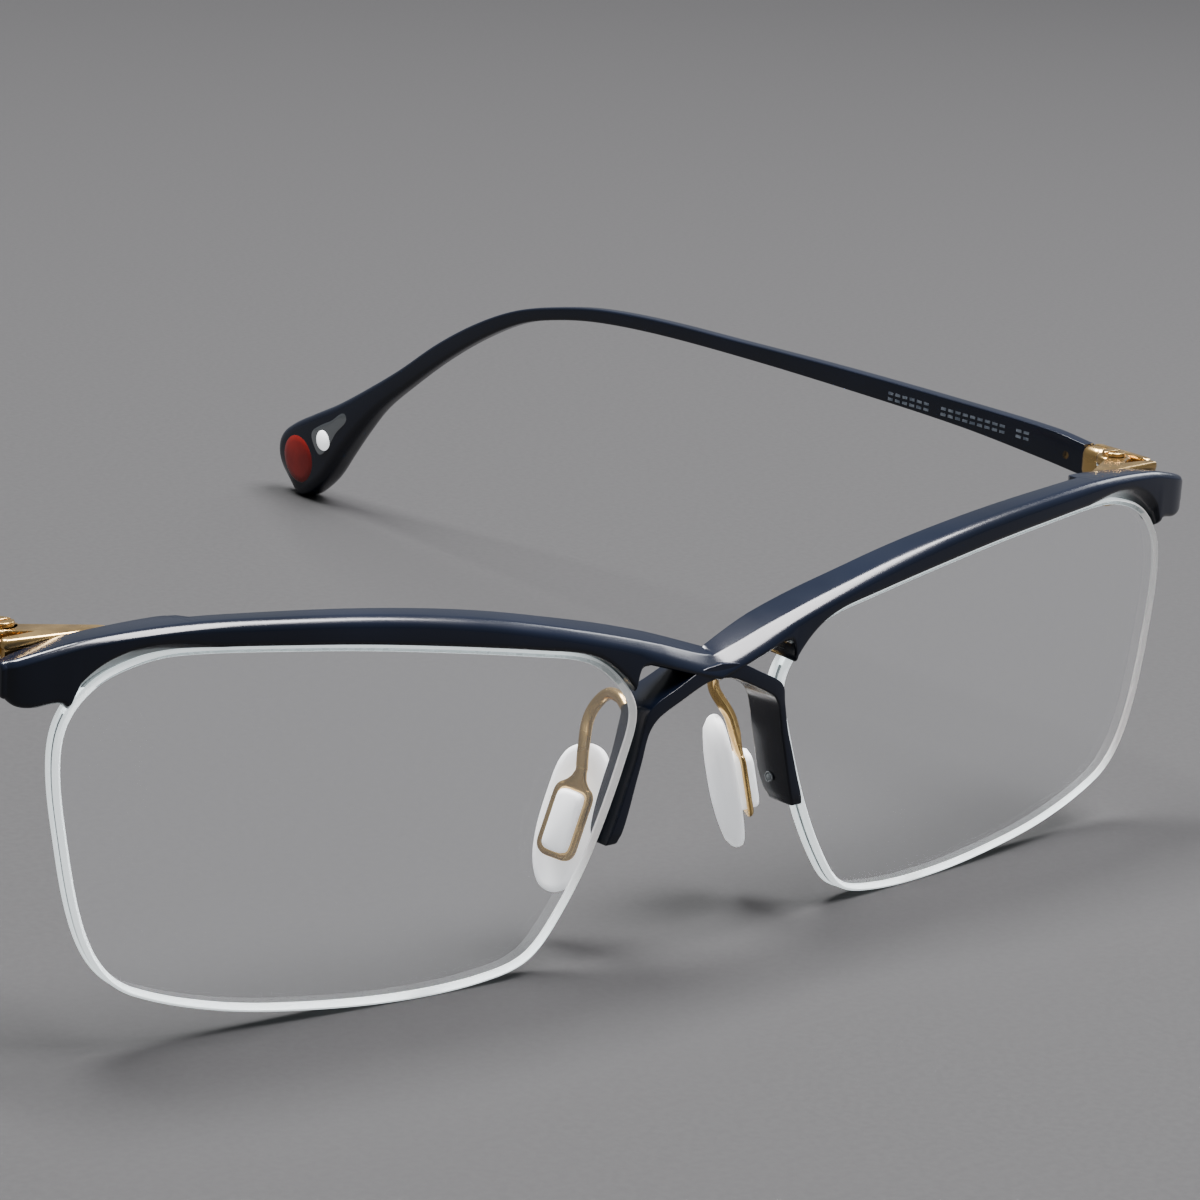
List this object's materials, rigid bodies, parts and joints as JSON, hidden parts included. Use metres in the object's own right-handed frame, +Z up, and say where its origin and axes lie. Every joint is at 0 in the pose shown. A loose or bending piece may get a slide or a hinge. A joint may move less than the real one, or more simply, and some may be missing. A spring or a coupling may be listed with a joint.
{
  "type": "half_rim_eyeglasses",
  "caption": "Half rim eyeglasses with a navy metal brow bar, cord-held lenses, gold hinges and pad arms, lying open.",
  "frame": {"origin": "Middle of the footprint of the open glasses, at table height", "axes": "+X to the wearer's left, across the lenses; +Y back along the temples, with the front facing -Y; +Z up"},
  "size_m": [0.14, 0.1522, 0.0352],
  "materials": {
    "navy_paint": "gloss",
    "gold_metal": "satin",
    "lens_clear": "gloss",
    "nylon": "matte",
    "silicone": "satin",
    "silver_metal": "polished",
    "red_lacquer": "gloss"
  },
  "bodies": {
    "front": {"brow_bar": "navy_paint", "end_block_right": "navy_paint", "end_block_left": "navy_paint", "nose_leg_right": "navy_paint", "nose_leg_left": "navy_paint", "lens_right": "lens_clear", "lens_left": "lens_clear", "lens_cord_right": "nylon", "lens_cord_left": "nylon", "rim_liner_right": "nylon", "rim_liner_left": "nylon", "pad_arm_right": "gold_metal", "pad_arm_left": "gold_metal", "nose_pad_right": "silicone", "nose_pad_left": "silicone", "hinge_fork_right": "gold_metal", "hinge_fork_left": "gold_metal", "hinge_screw_right": "gold_metal", "hinge_screw_left": "gold_metal", "hinge_washers_right": "nylon", "hinge_washers_left": "nylon"},
    "temple_right_side": {"temple_right": "navy_paint", "hinge_leaf_right": "gold_metal", "leaf_rivet_right": "gold_metal", "tip_inlay_right": "silver_metal", "tip_cap_right": "red_lacquer"},
    "temple_left_side": {"temple_left": "navy_paint", "hinge_leaf_left": "gold_metal", "leaf_rivet_left": "gold_metal", "tip_inlay_left": "silver_metal", "tip_cap_left": "red_lacquer"}
  },
  "joints": [
    {"name": "temple_right_fold", "type": "hinge", "parent": "front", "child": "temple_right_side", "pos_m": [0.0647, -0.0618, 0.0328], "axis": [0, 0, 1], "range_deg": [0, 84]},
    {"name": "temple_left_fold", "type": "hinge", "parent": "front", "child": "temple_left_side", "pos_m": [-0.0647, -0.0618, 0.0328], "axis": [0, 0, -1], "range_deg": [0, 90]}
  ]
}
